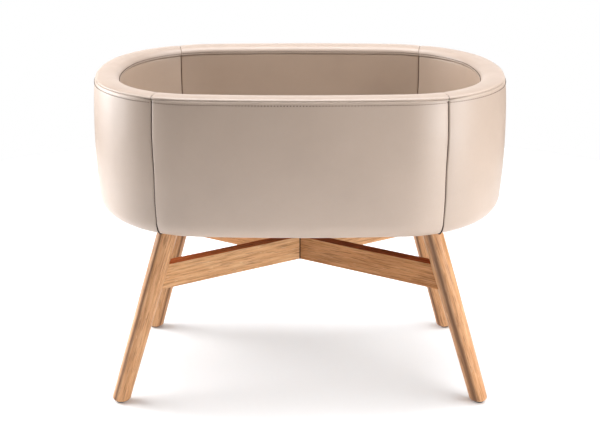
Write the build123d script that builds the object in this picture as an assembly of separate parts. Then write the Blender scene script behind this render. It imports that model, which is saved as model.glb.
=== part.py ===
from build123d import *
import math
import os

# Oval upholstered crib tub on a splayed four-leg stand with crossed rails.
# Millimetres. X runs along the tub, Y across it (front is -Y), Z is up.
# The origin is on the floor, under the middle of the tub.

on_base = (Align.CENTER, Align.CENTER, Align.MIN)
under_base = (Align.CENTER, Align.CENTER, Align.MAX)
eighth_turn = math.radians(45)

# Overall size
tub_length = 900.0
tub_width = 600.0
rim_top_z = 718.0
tub_bottom_z = 420.0

# Plan outline of the tub: three tangent arc radii, for the long sides, the corners and the ends
side_arc_radius = 3000.0
corner_arc_radius = 250.0
end_arc_radius = 450.0

# Wall build-up, as insets from the tub's outermost line
leather = 1.6
hoop_outer_inset = 11.6
hoop_thickness = 15.0
wall_thickness = 59.5
foot_inset = 4.0
shoulder_inset = 6.0
seam_inset = 8.5
shoulder_bulge = 0.6

# Heights in the wall
shoulder_drop = 18.0
outer_seam_drop = 4.4
seam_gap = 0.4
belly_share = 0.5
bottom_radius = 40.0
ply_bottom_radius = 37.4

# Rim band profile
rim_outer_turn = (15.0, 0.9)
rim_crown_inset = 28.3
rim_inner_radius = 14.0
rim_inner_fall = 1.5

# Base
board_thickness = 15.0
board_lift = 2.6
batten_height = 20.0
leather_return = 16.0
wadding_margin = 4.0
vent_radius = 12.0
vent_pitch_x = 110.0
vent_pitch_y = 95.0
vent_columns = 5
vent_rows = 3
plate_clearance = 1.0
cloth = 1.2
liner_thickness = 1.5

# Upright seams of the covers
seam_station_x = 295.0
seam_turn = 12.0
panel_gap = 0.4
cutter_margin = 100.0

# Mattress
mattress_thickness = 55.0
mattress_side_gap = 3.0
mattress_lift_gap = 0.3
mattress_edge_radius = 12.0
cover_thickness = 1.5

# Stand, with the back legs closer together than the front legs
foot_x = {-1: 403.0, 1: 375.0}
foot_y = 191.0
leg_slope_x = {-1: 0.3014, 1: 0.2766}
leg_slope_y = 0.0467
leg_radius = 22.0
leg_foot_radius = 19.5
leg_taper_length = 300.0
leg_end_rounding = 8.0
leg_overrun = 40.0
leg_block = 400.0
rail_bottom_z = 270.0
rail_height = 55.0
rail_thickness = 27.0
tenon_thickness = 12.0
tenon_height = 36.0
tenon_reach = 12.0

# Foot glides
glide_height = 4.0
glide_radius = 11.0
glide_nail_radius = 1.5
glide_nail_length = 14.0
glide_rounding = 1.0

# Hardware
plate_radius = 34.0
plate_thickness = 3.0
plate_screw_circle = 29.0
screw_radius = 2.0
screw_head_radius = 4.0
screw_head_height = 2.5
screw_head_rounding = 1.0
plate_screw_count = 4
screw_sink = 2.5
plate_screw_length = 15.0
bolt_radius = 4.0
bolt_depth_in_leg = 45.0
bolt_above_plate = 12.0
bolt_clearance = 3.0
drill_overrun = 12.0
hole_overrun = 1.0
batten_screw_count = 12
batten_screw_length = 30.0
batten_screw_inset = 54.0
hoop_screw_length = 32.0
staple_count = 40
staple_crown = 10.0
staple_wire = 1.2
staple_leg = 6.0
staple_margin = 6.0

half_length = tub_length / 2
half_width = tub_width / 2
shoulder_z = rim_top_z - shoulder_drop
seam_z = rim_top_z - outer_seam_drop
curve_z = tub_bottom_z + bottom_radius
belly_z = curve_z + (shoulder_z - curve_z) * belly_share
board_bottom_z = tub_bottom_z + board_lift
board_top_z = board_bottom_z + board_thickness
batten_top_z = board_top_z + batten_height
hoop_inner_inset = hoop_outer_inset + hoop_thickness
lining_back_inset = wall_thickness - leather
ply_curve_inset = hoop_outer_inset + ply_bottom_radius
skin_curve_inset = foot_inset + bottom_radius
plate_bottom_z = board_bottom_z - plate_thickness
mattress_bottom_z = board_top_z + liner_thickness + mattress_lift_gap
mattress_inset = wall_thickness + mattress_side_gap
rim_centre_inset = wall_thickness - rim_inner_radius
rim_centre_z = rim_top_z - rim_inner_fall - rim_inner_radius
corner_sides = {"front_left": (-1, -1), "front_right": (1, -1), "back_left": (-1, 1), "back_right": (1, 1)}


# ---------------------------------------------------------------- plan outline
def plan_arcs():
    """The outline's eight tangent arcs: centre x, centre y, radius, start angle, sweep."""
    side_centre = half_width - side_arc_radius
    end_centre = half_length - end_arc_radius
    apart = math.hypot(end_centre, side_centre)
    to_side = side_arc_radius - corner_arc_radius
    to_end = end_arc_radius - corner_arc_radius
    along = (apart ** 2 + to_side ** 2 - to_end ** 2) / (2 * apart)
    across = math.sqrt(to_side ** 2 - along ** 2)
    ux = end_centre / apart
    uy = -side_centre / apart
    corner_x = ux * along + uy * across
    corner_y = side_centre + uy * along - ux * across
    low = math.degrees(math.atan2(corner_y, corner_x - end_centre))
    high = math.degrees(math.atan2(corner_y - side_centre, corner_x))
    return [
        (end_centre, 0.0, end_arc_radius, -low, 2 * low),
        (corner_x, corner_y, corner_arc_radius, low, high - low),
        (0.0, side_centre, side_arc_radius, high, 180 - 2 * high),
        (-corner_x, corner_y, corner_arc_radius, 180 - high, high - low),
        (-end_centre, 0.0, end_arc_radius, 180 - low, 2 * low),
        (-corner_x, -corner_y, corner_arc_radius, 180 + low, high - low),
        (0.0, -side_centre, side_arc_radius, 180 + high, 180 - 2 * high),
        (corner_x, -corner_y, corner_arc_radius, 360 - high, high - low),
    ]


def plan_point(arc, inset, share):
    """A point on one arc of the outline, moved inwards, and the outward angle there."""
    x, y, radius, start, sweep = arc
    angle = start + sweep * share
    turn = math.radians(angle)
    return x + (radius - inset) * math.cos(turn), y + (radius - inset) * math.sin(turn), angle


def plan_face(inset, z):
    """The flat oval inside the outline, moved inwards by inset."""
    edges = []
    for arc in plan_arcs():
        ends = [plan_point(arc, inset, share)[:2] for share in (0.0, 0.5, 1.0)]
        edges.append(Edge.make_three_point_arc(*[Vector(px, py, z) for px, py in ends]))
    return Face(Wire(edges))


def plate(inset, bottom, top):
    """A flat oval slab."""
    return extrude(plan_face(inset, bottom), amount=top - bottom, dir=(0, 0, 1))


def section_face(radius, start, steps):
    """A closed wall section. Points are (inset, height); a step of two points is an arc."""
    def place(point):
        return Vector(radius - point[0], 0, point[1])

    here = start
    edges = []
    for step in steps:
        if len(step) == 1:
            edges.append(Edge.make_line(place(here), place(step[0])))
        else:
            edges.append(Edge.make_three_point_arc(place(here), place(step[0]), place(step[1])))
        here = step[-1]
    edges.append(Edge.make_line(place(here), place(start)))
    return Face(Wire(edges))


def ring(start, steps):
    """A wall section carried all the way round the outline, as one solid."""
    pieces = []
    for x, y, radius, first, sweep in plan_arcs():
        face = Pos(x, y, 0) * Rot(0, 0, first) * section_face(radius, start, steps)
        pieces.append(revolve(face, axis=Axis((x, y, 0), (0, 0, 1)), revolution_arc=sweep))
    whole = pieces[0]
    for piece in pieces[1:]:
        whole = whole + piece
    return whole


def square_ring(outer_inset, inner_inset, bottom, top):
    """A ring of rectangular section between two insets and two heights."""
    steps = [((inner_inset, bottom),), ((inner_inset, top),), ((outer_inset, top),)]
    return ring((outer_inset, bottom), steps)


def spaced_stations(count, inset):
    """Points spread evenly by distance along the outline, with the outward angle at each."""
    arcs = plan_arcs()
    lengths = [(arc[2] - inset) * math.radians(arc[4]) for arc in arcs]
    step = sum(lengths) / count
    stations = []
    for index in range(count):
        distance = step * (index + 0.5)
        for arc, length in zip(arcs, lengths):
            if distance <= length:
                stations.append(plan_point(arc, inset, distance / length))
                break
            distance -= length
    return stations


# ---------------------------------------------------------------- cutting rings into panels
def seam_line(side_x, side_y, y, shift):
    """X of an upright seam's plane at a given y, moved by shift along X."""
    arc = plan_arcs()[1]
    seam_y = arc[1] + math.sqrt(arc[2] ** 2 - (seam_station_x - arc[0]) ** 2)
    lean = math.tan(math.radians(seam_turn))
    inward = seam_y - abs(y)
    return side_x * (seam_station_x - inward * lean + shift)


def panel_cutters():
    """Upright blocks that keep the front, back, left end or right end of a ring."""
    outside = half_width + cutter_margin
    inside = half_width - 2 * wall_thickness
    bottom = tub_bottom_z - cutter_margin
    height = rim_top_z - tub_bottom_z + 2 * cutter_margin
    far = half_length + cutter_margin
    cutters = {}
    for name, side in (("front", -1), ("back", 1)):
        corners_xy = [
            (seam_line(sx, side, side * y, -panel_gap / 2), side * y)
            for sx, y in ((-1, outside), (1, outside), (1, inside), (-1, inside))
        ]
        cutters[name] = prism(corners_xy, bottom, height)
    for name, side in (("left", -1), ("right", 1)):
        corners_xy = [(side * far, -outside), (side * far, outside)]
        for sy, y in ((1, outside), (1, inside), (-1, inside), (-1, outside)):
            corners_xy.append((seam_line(side, sy, y, panel_gap / 2), sy * y))
        cutters[name] = prism(corners_xy, bottom, height)
    return cutters


def prism(points, bottom, height):
    """An upright block on a plan polygon."""
    face = Face(Wire.make_polygon([Vector(px, py, bottom) for px, py in points], close=True))
    if face.normal_at().Z < 0:
        face = -face
    return extrude(face, amount=height, dir=(0, 0, 1))


def panels(base_name, whole):
    """Front, back, left and right lengths of a ring, each in its own node."""
    return {f"{base_name}_{name}": whole & cutter for name, cutter in panel_cutters().items()}


# ---------------------------------------------------------------- tub structure
def outer_face_steps(depth):
    """Outer face of the wall from shoulder to underside, depth below the leather's surface."""
    radius = bottom_radius - depth
    middle = (skin_curve_inset - radius * math.cos(eighth_turn), curve_z - radius * math.sin(eighth_turn))
    return [
        ((depth, belly_z), (foot_inset + depth, curve_z)),
        (middle, (skin_curve_inset, curve_z - radius)),
    ]


def ply_curve(inset):
    """Height of the plywood's rounded lower edge at an inset."""
    return curve_z - math.sqrt(ply_bottom_radius ** 2 - (ply_curve_inset - inset) ** 2)


def wall_hoop():
    """Bent plywood wall, rounded off outside at its lower edge."""
    middle_inset = (hoop_outer_inset + hoop_inner_inset) / 2
    body = ring(
        (hoop_outer_inset, shoulder_z),
        [
            ((hoop_outer_inset, curve_z),),
            ((middle_inset, ply_curve(middle_inset)), (hoop_inner_inset, ply_curve(hoop_inner_inset))),
            ((hoop_inner_inset, shoulder_z),),
        ],
    )
    drill = Cylinder(screw_head_radius, screw_sink + hole_overrun, align=under_base)
    for place in batten_side_points():
        body -= inward_plane(*place) * drill
    return body - batten_side_screws()


def base_board():
    """Plywood floor with air holes and a rounded edge that carries on from the hoop."""
    middle_inset = (hoop_inner_inset + ply_curve_inset) / 2
    edge = ring(
        (hoop_inner_inset, board_top_z),
        [
            ((hoop_inner_inset, ply_curve(hoop_inner_inset)),),
            ((middle_inset, ply_curve(middle_inset)), (ply_curve_inset, board_bottom_z)),
            ((ply_curve_inset, board_top_z),),
        ],
    )
    body = plate(ply_curve_inset, board_bottom_z, board_top_z) + edge
    for column in range(vent_columns):
        for row in range(vent_rows):
            x = (column - (vent_columns - 1) / 2) * vent_pitch_x
            y = (row - (vent_rows - 1) / 2) * vent_pitch_y
            body -= through_hole(x, y, board_bottom_z, vent_radius, board_thickness)
    body -= leg_plate_screws()
    body -= batten_floor_screws()
    low = board_bottom_z - drill_overrun
    high = board_top_z + drill_overrun
    for sx, sy in corner_sides.values():
        body -= leg_axis_rod(sx, sy, low, high, bolt_radius + bolt_clearance)
    return body


def base_batten():
    """Batten inside the hoop's foot, fixed to the hoop and to the board."""
    body = square_ring(hoop_inner_inset, lining_back_inset, board_top_z, batten_top_z)
    return body - batten_side_screws() - batten_floor_screws()


def outer_foam():
    """Foam over the hoop's outside, feathered out under the board's edge."""
    end_inset = skin_curve_inset + leather_return - wadding_margin
    ply_middle = (
        ply_curve_inset - ply_bottom_radius * math.cos(eighth_turn),
        curve_z - ply_bottom_radius * math.sin(eighth_turn),
    )
    steps = outer_face_steps(leather) + [
        ((end_inset, tub_bottom_z + leather),),
        ((end_inset, board_bottom_z),),
        ((ply_curve_inset, board_bottom_z),),
        (ply_middle, (hoop_outer_inset, curve_z)),
        ((hoop_outer_inset, shoulder_z),),
    ]
    return ring((shoulder_inset + leather, shoulder_z), steps)


def inner_foam():
    """Thick foam on the hoop's inside, standing on the batten."""
    return square_ring(hoop_inner_inset, lining_back_inset, batten_top_z, shoulder_z)


def shoulder_steps(depth, top_z):
    """Outer face from the shoulder up to the rim seam."""
    middle = (shoulder_inset + depth + shoulder_bulge, (shoulder_z + top_z) / 2)
    return [(middle, (seam_inset + depth, top_z))]


def rim_steps(depth):
    """The rim's top from the outer seam's side to the inner wall's face."""
    turn_inset, turn_drop = rim_outer_turn
    radius = rim_inner_radius - depth
    return [
        ((turn_inset, rim_top_z - turn_drop - depth),),
        ((rim_crown_inset, rim_top_z - depth), (rim_centre_inset, rim_centre_z + radius)),
        (rim_corner_point(radius), (rim_centre_inset + radius, rim_centre_z)),
    ]


def rim_corner_point(radius):
    """Middle of the quarter turn from the rim's top to the inner wall."""
    return (
        rim_centre_inset + radius * math.sin(eighth_turn),
        rim_centre_z + radius * math.cos(eighth_turn),
    )


def rim_foam():
    """Foam roll over the top of the wall."""
    steps = shoulder_steps(leather, seam_z - seam_gap) + [((seam_inset + leather, seam_z),)]
    steps += rim_steps(leather) + [((lining_back_inset, shoulder_z),)]
    return ring((shoulder_inset + leather, shoulder_z), steps)


# ---------------------------------------------------------------- covers
def outer_skin():
    """Outer leather: from the rim seam, down the wall, round under the board's edge."""
    end_inset = skin_curve_inset + leather_return
    outer_top = seam_z - seam_gap
    shoulder_middle = (shoulder_inset + shoulder_bulge, (shoulder_z + outer_top) / 2)
    outside = [(shoulder_middle, (shoulder_inset, shoulder_z))]
    outside += outer_face_steps(0.0) + [((end_inset, tub_bottom_z),)]
    underside_z = tub_bottom_z + leather
    radius = bottom_radius - leather
    foot_middle = (
        skin_curve_inset - radius * math.cos(eighth_turn),
        curve_z - radius * math.sin(eighth_turn),
    )
    back = [
        ((end_inset, underside_z),),
        ((skin_curve_inset, underside_z),),
        (foot_middle, (foot_inset + leather, curve_z)),
        ((leather, belly_z), (shoulder_inset + leather, shoulder_z)),
    ]
    return ring((seam_inset, outer_top), outside + back + shoulder_steps(leather, outer_top))


def rim_skin():
    """Leather band over the rim, from the outer seam to the inner seam."""
    turn_inset, turn_drop = rim_outer_turn
    radius = rim_inner_radius - leather
    over = rim_steps(0.0) + [
        ((wall_thickness, shoulder_z + seam_gap / 2),),
        ((lining_back_inset, shoulder_z + seam_gap / 2),),
        ((lining_back_inset, rim_centre_z),),
    ]
    back = [
        (rim_corner_point(radius), (rim_centre_inset, rim_centre_z + radius)),
        ((rim_crown_inset, rim_top_z - leather), (turn_inset, rim_top_z - turn_drop - leather)),
        ((seam_inset + leather, seam_z),),
    ]
    return ring((seam_inset, seam_z), over + back)


def lining_skin():
    """Inner leather, from the inner rim seam down to the batten's foot."""
    return square_ring(lining_back_inset, wall_thickness, board_top_z + seam_gap, shoulder_z - seam_gap / 2)


def floor_liner():
    """Thin sheet on the board inside the walls."""
    return plate(wall_thickness + seam_gap, board_top_z, board_top_z + liner_thickness)


def dust_cover():
    """Cloth under the board, cut round the leg plates."""
    body = plate(skin_curve_inset + leather_return + seam_gap, board_bottom_z - cloth, board_bottom_z)
    for sx, sy in corner_sides.values():
        x, y = leg_axis_point(sx, sy, plate_bottom_z)
        body -= through_hole(x, y, board_bottom_z - cloth, plate_radius + plate_clearance, cloth)
    return body


# ---------------------------------------------------------------- mattress
def mattress_slab(shrink):
    """Oval mattress form with rounded edges, drawn in by shrink on every side."""
    bottom = mattress_bottom_z + shrink
    top = mattress_bottom_z + mattress_thickness - shrink
    radius = mattress_edge_radius - shrink
    inset = mattress_inset + shrink
    slab = plate(inset, bottom, top)
    by_height = slab.edges().group_by(Axis.Z)
    return fillet(by_height[0] + by_height[-1], radius)


def mattress_core():
    """Foam core of the mattress."""
    return mattress_slab(cover_thickness)


def mattress_cover():
    """Cover that encloses the foam core."""
    return mattress_slab(0.0) - mattress_slab(cover_thickness)


# ---------------------------------------------------------------- stand
def leg_axis_point(sx, sy, z):
    """Plan position of a leg's axis at a height."""
    return sx * (foot_x[sy] - leg_slope_x[sy] * z), sy * (foot_y - leg_slope_y * z)


def leg_axis_plane(sx, sy, z):
    """Plane square to a leg's axis, with its origin on the axis at a height."""
    x, y = leg_axis_point(sx, sy, z)
    return Plane(origin=(x, y, z), z_dir=(-sx * leg_slope_x[sy], -sy * leg_slope_y, 1))


def along_leg(sy, z_low, z_high):
    """Distance along the axis of a front or back leg between two heights."""
    return (z_high - z_low) * math.sqrt(1 + leg_slope_x[sy] ** 2 + leg_slope_y ** 2)


def leg_axis_rod(sx, sy, z_low, z_high, radius):
    """Round rod on a leg's axis between two heights."""
    length = along_leg(sy, z_low, z_high)
    return leg_axis_plane(sx, sy, z_low) * Cylinder(radius, length, align=on_base)


def leg_blank(sx, sy):
    """Round tapered leg with level ends and a rounded foot."""
    low = glide_height - leg_overrun
    start = along_leg(sy, low, glide_height)
    shank_length = along_leg(sy, low, plate_bottom_z) + leg_overrun - start - leg_taper_length
    stick = Cylinder(leg_foot_radius, start, align=on_base)
    stick += Pos(0, 0, start) * Cone(leg_foot_radius, leg_radius, leg_taper_length, align=on_base)
    stick += Pos(0, 0, start + leg_taper_length) * Cylinder(leg_radius, shank_length, align=on_base)
    x, y = leg_axis_point(sx, sy, plate_bottom_z / 2)
    level_ends = Pos(x, y, glide_height) * Box(
        leg_block, leg_block, plate_bottom_z - glide_height, align=on_base
    )
    blank = (leg_axis_plane(sx, sy, low) * stick) & level_ends
    return fillet(blank.edges().group_by(Axis.Z)[0], leg_end_rounding)


def rail_bar(direction, thickness, z_low, height, overlap=0):
    """Straight bar between the axes of two opposite legs, longer by an overlap at each end."""
    middle_z = rail_bottom_z + rail_height / 2
    start, end = [Vector(*leg_axis_point(side, side * direction, middle_z)) for side in (-1, 1)]
    span = end - start
    middle = (start + end) / 2
    bar = Box(span.length + 2 * overlap, thickness, height, align=on_base)
    return Pos(middle.X, middle.Y, z_low) * Rot(0, 0, math.degrees(math.atan2(span.Y, span.X))) * bar


def tenon_bar(direction):
    """Bar as wide and high as the tenons, ending inside the legs."""
    z_low = rail_bottom_z + (rail_height - tenon_height) / 2
    return rail_bar(direction, tenon_thickness, z_low, tenon_height, tenon_reach)


def cross_rail(direction):
    """Rail from leg to leg with coped shoulders, tenons and half of the lap joint."""
    bar = rail_bar(direction, rail_thickness, rail_bottom_z, rail_height)
    for side in (-1, 1):
        bar -= leg_blank(side, side * direction)
    rail = bar + tenon_bar(direction)
    lap_z = rail_bottom_z if direction > 0 else rail_bottom_z + rail_height / 2
    return rail - rail_bar(-direction, rail_thickness, lap_z, rail_height / 2)


def leg(sx, sy):
    """Leg with its mortise, bolt hole and glide nail hole."""
    return leg_blank(sx, sy) - tenon_bar(sx * sy) - leg_bolt(sx, sy) - foot_glide(sx, sy)


def foot_glide(sx, sy):
    """Round glide with its nail, standing on the floor."""
    x, y = leg_axis_point(sx, sy, glide_height)
    disc = upright(x, y, 0, glide_radius, glide_height)
    disc = fillet(disc.edges().group_by(Axis.Z)[0], glide_rounding)
    return disc + upright(x, y, glide_height, glide_nail_radius, glide_nail_length)


# ---------------------------------------------------------------- hardware
def upright(x, y, z, radius, height):
    """Upright cylinder standing on a point."""
    return Pos(x, y, z) * Cylinder(radius, height, align=on_base)


def through_hole(x, y, z, radius, thickness):
    """Upright drill that passes both faces of a sheet standing on a height."""
    return upright(x, y, z - hole_overrun, radius, thickness + 2 * hole_overrun)


def group(solids):
    """Separate identical solids kept together."""
    return Compound(children=[piece for item in solids for piece in item.solids()])


def leg_bolt(sx, sy):
    """Hanger bolt on the leg's axis, from inside the leg to above the plate."""
    low = plate_bottom_z - bolt_depth_in_leg
    high = board_bottom_z + bolt_above_plate
    return leg_axis_rod(sx, sy, low, high, bolt_radius)


def plate_screw_points(sx, sy):
    """Centres of one plate's screws."""
    x, y = leg_axis_point(sx, sy, plate_bottom_z)
    points = []
    for index in range(plate_screw_count):
        turn = 2 * math.pi * (index + 0.5) / plate_screw_count
        points.append((x + plate_screw_circle * math.cos(turn), y + plate_screw_circle * math.sin(turn)))
    return points


def leg_plate(sx, sy):
    """Round steel plate between the leg's top and the board."""
    x, y = leg_axis_point(sx, sy, plate_bottom_z)
    body = upright(x, y, plate_bottom_z, plate_radius, plate_thickness)
    body -= leg_bolt(sx, sy)
    for px, py in plate_screw_points(sx, sy):
        body -= through_hole(px, py, plate_bottom_z, screw_radius, plate_thickness)
    return body


def leg_plate_screws():
    """Screws through the leg plates into the board."""
    screws = []
    for sx, sy in corner_sides.values():
        for x, y in plate_screw_points(sx, sy):
            head = upright(x, y, plate_bottom_z - screw_head_height, screw_head_radius, screw_head_height)
            head = fillet(head.edges().group_by(Axis.Z)[0], screw_head_rounding)
            screws.append(head + upright(x, y, plate_bottom_z, screw_radius, plate_screw_length))
    return group(screws)


def batten_floor_screws():
    """Screws up through the board into the batten."""
    screw = sunk_screw(batten_screw_length)
    stations = spaced_stations(batten_screw_count, batten_screw_inset)
    return group([Pos(x, y, board_bottom_z) * screw for x, y, angle in stations])


def batten_side_points():
    """Places and outward angles of the screws' heads, sunk in the hoop's rounded foot."""
    z = board_top_z + batten_height / 2
    start_inset = ply_curve_inset - math.sqrt(ply_bottom_radius ** 2 - (curve_z - z) ** 2)
    stations = spaced_stations(batten_screw_count * 2, start_inset + screw_sink)[::2]
    return [(x, y, z, angle) for x, y, angle in stations]


def inward_plane(x, y, z, angle):
    """Plane whose normal points level into the tub."""
    turn = math.radians(angle)
    return Plane(origin=(x, y, z), z_dir=(-math.cos(turn), -math.sin(turn), 0))


def batten_side_screws():
    """Screws in through the hoop into the batten."""
    screw = sunk_screw(hoop_screw_length)
    return group([inward_plane(*place) * screw for place in batten_side_points()])


def sunk_screw(length):
    """Countersunk screw pointing up, with its head's face at the origin."""
    head = Cone(screw_head_radius, screw_radius, screw_head_height, align=on_base)
    return head + Cylinder(screw_radius, length, align=on_base)


def underside_staples():
    """Staples that hold the leather's lower edge to the board."""
    inset = skin_curve_inset + leather_return - staple_margin
    prong = Box(staple_wire, staple_wire, staple_leg, align=on_base)
    side = (staple_crown - staple_wire) / 2
    staple = Box(staple_wire, staple_crown, staple_wire, align=under_base)
    staple += Pos(0, side, 0) * prong + Pos(0, -side, 0) * prong
    stations = spaced_stations(staple_count, inset)
    return group([Pos(x, y, tub_bottom_z) * Rot(0, 0, angle) * staple for x, y, angle in stations])


# ---------------------------------------------------------------- all sub-parts
def build_nodes():
    """Every sub-part by its node name."""
    staples = underside_staples()
    nodes = {
        "wall_hoop": wall_hoop(),
        "base_board": base_board() - staples,
        "base_batten": base_batten(),
        "rim_foam": rim_foam(),
        "floor_liner": floor_liner(),
        "dust_cover": dust_cover(),
        "mattress_core": mattress_core(),
        "mattress_cover": mattress_cover(),
        "cross_rail_over": cross_rail(1),
        "cross_rail_under": cross_rail(-1),
        "leg_plates": group([leg_plate(*sides) for sides in corner_sides.values()]),
        "leg_plate_screws": leg_plate_screws(),
        "leg_bolts": group([leg_bolt(*sides) for sides in corner_sides.values()]),
        "foot_glides": group([foot_glide(*sides) for sides in corner_sides.values()]),
        "batten_floor_screws": batten_floor_screws(),
        "batten_side_screws": batten_side_screws(),
        "underside_staples": staples,
    }
    nodes.update(panels("outer_foam", outer_foam() - staples))
    nodes.update(panels("inner_foam", inner_foam()))
    nodes.update(panels("outer_panel", outer_skin() - staples))
    nodes.update(panels("rim_band", rim_skin()))
    nodes.update(panels("lining", lining_skin()))
    for name, sides in corner_sides.items():
        nodes[f"leg_{name}"] = leg(*sides)
    return nodes


os.makedirs("parts", exist_ok=True)
for node, shape in build_nodes().items():
    export_step(shape, f"parts/{node}.step")
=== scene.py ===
from collections import Counter
from math import atan2, cos, hypot, pi, radians, sin, sqrt, tan

import bmesh
import bpy
import numpy as np
from mathutils import Euler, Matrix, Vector
from mathutils.geometry import delaunay_2d_cdt


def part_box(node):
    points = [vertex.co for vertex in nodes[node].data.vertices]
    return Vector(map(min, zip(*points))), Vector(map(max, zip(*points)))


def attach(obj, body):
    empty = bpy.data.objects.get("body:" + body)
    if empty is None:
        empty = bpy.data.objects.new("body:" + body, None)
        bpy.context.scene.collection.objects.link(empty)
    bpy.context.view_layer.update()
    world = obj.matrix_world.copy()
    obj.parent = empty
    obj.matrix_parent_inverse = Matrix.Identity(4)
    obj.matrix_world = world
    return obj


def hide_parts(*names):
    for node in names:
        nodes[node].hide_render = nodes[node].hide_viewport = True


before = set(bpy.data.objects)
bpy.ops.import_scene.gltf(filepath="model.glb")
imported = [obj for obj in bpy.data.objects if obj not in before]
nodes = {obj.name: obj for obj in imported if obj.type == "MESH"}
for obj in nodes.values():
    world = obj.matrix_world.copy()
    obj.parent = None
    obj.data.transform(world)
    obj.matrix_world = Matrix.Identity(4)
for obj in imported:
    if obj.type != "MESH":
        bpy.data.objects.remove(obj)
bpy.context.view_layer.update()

mm = 0.001
scene = bpy.context.scene
side_names = ("front", "back", "left", "right")
sides_in_turn = ("right", "back", "left", "front")

# ---- plan outline of the tub
side_radius = 3000 * mm
corner_radius = 250 * mm
end_radius = 450 * mm
half_length = 450 * mm
half_width = 300 * mm

seam_station_x = 295 * mm
seam_lean = tan(radians(12))
seam_wander = 0.7 * mm
seam_wander_length = 150 * mm

# Wall section: insets from the tub's outermost line, and heights
wall_thickness = 59.5 * mm
hoop_outer_inset = 11.6 * mm
hoop_inner_inset = 26.6 * mm
leather = 1.5 * mm
rim_top_z = 718 * mm
shoulder_z = 700 * mm
outer_seam = (8.5 * mm, 713.4 * mm)
tub_bottom_z = 420 * mm
board_bottom_z = 422.6 * mm
board_top_z = 437.6 * mm
batten_top_z = 457.6 * mm
foot_radius = 40 * mm
foot_inset = 4 * mm
curve_z = tub_bottom_z + foot_radius
curve_inset = foot_inset + foot_radius
outer_end_inset = 60 * mm


def outline_arcs():
    """The eight tangent arcs of the outline: centre x, centre y, radius, start angle, sweep."""
    side_centre = half_width - side_radius
    end_centre = half_length - end_radius
    apart = hypot(end_centre, side_centre)
    to_side = side_radius - corner_radius
    to_end = end_radius - corner_radius
    along = (apart ** 2 + to_side ** 2 - to_end ** 2) / (2 * apart)
    across = sqrt(to_side ** 2 - along ** 2)
    ux = end_centre / apart
    uy = -side_centre / apart
    x = ux * along + uy * across
    y = side_centre + uy * along - ux * across
    low = atan2(y, x - end_centre)
    high = atan2(y - side_centre, x)
    half = []
    for sign, turn in ((1, 0), (-1, pi)):
        half += [
            (sign * end_centre, 0, end_radius, turn - low, 2 * low),
            (sign * x, sign * y, corner_radius, turn + low, high - low),
            (0, sign * side_centre, side_radius, turn + high, pi - 2 * high),
            (-sign * x, sign * y, corner_radius, turn + pi - high, high - low),
        ]
    return np.array(half)


arcs = outline_arcs()
arc_lengths = arcs[:, 2] * arcs[:, 4]
arc_ends = np.cumsum(arc_lengths)
perimeter = arc_ends[-1]
end_half = arc_lengths[0] / 2


def outline(distance, inset):
    """Plan points and outward directions at distances along the outline, moved inwards by inset."""
    s = np.mod(distance + end_half, perimeter)
    index = np.minimum(np.searchsorted(arc_ends, s, side="right"), len(arcs) - 1)
    cx, cy, radius, start, _ = np.moveaxis(arcs[index], -1, 0)
    angle = start + (s - (arc_ends[index] - arc_lengths[index])) / radius
    out = np.stack([np.cos(angle), np.sin(angle)], -1)
    return np.stack([cx, cy], -1) + (radius - inset)[..., None] * out, out


def tub_points(distance, inset, height):
    """Points of the tub at distances along its outline, moved inwards by insets, at heights."""
    plan, _ = outline(distance, inset)
    return np.concatenate([plan, (height + 0 * distance)[..., None]], -1)


def seam_distance(inset, height):
    """Distance from the right end's middle to the first upright seam, at an inset and a height."""
    cx, cy, radius, start, sweep = arcs[1]
    seam_y = cy + sqrt(radius ** 2 - (seam_station_x - cx) ** 2)
    station = seam_station_x + seam_wander * np.sin(height / seam_wander_length * 2 * pi)
    low = np.full(np.shape(inset), start)
    high = np.full(np.shape(inset), start + sweep)
    for _ in range(30):
        middle = (low + high) / 2
        x = cx + (radius - inset) * np.cos(middle)
        y = cy + (radius - inset) * np.sin(middle)
        beyond = x > station - (seam_y - y) * seam_lean
        low = np.where(beyond, middle, low)
        high = np.where(beyond, high, middle)
    return arc_ends[0] - end_half + radius * (low - start)


def panel_span(side, inset, height):
    """Start and end distances of one side's panel at an inset and a height."""
    first = seam_distance(inset, height)
    half = perimeter / 2
    return {
        "right": (-first, first),
        "back": (first, half - first),
        "left": (half - first, half + first),
        "front": (half + first, perimeter - first),
    }[side]


# ---- wall sections
def arc_through(start, middle, end, count):
    """Points on the arc from start to end that passes through middle, without its start."""
    (ax, ay), (bx, by), (cx, cy) = start, middle, end
    d = 2 * (ax * (by - cy) + bx * (cy - ay) + cx * (ay - by))
    a, b, c = ax ** 2 + ay ** 2, bx ** 2 + by ** 2, cx ** 2 + cy ** 2
    ux = (a * (by - cy) + b * (cy - ay) + c * (ay - by)) / d
    uy = (a * (cx - bx) + b * (ax - cx) + c * (bx - ax)) / d
    first = atan2(ay - uy, ax - ux)
    last = atan2(cy - uy, cx - ux)
    turn = (last - first + pi) % (2 * pi) - pi
    radius = hypot(ax - ux, ay - uy)
    angles = [first + turn * (i + 1) / count for i in range(count)]
    return [(ux + radius * cos(a), uy + radius * sin(a)) for a in angles]


def eighth(centre_inset, centre_z, radius, out, up):
    """The middle of a quarter arc about a centre."""
    reach = radius * sqrt(0.5)
    return centre_inset - out * reach, centre_z + up * reach


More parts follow.
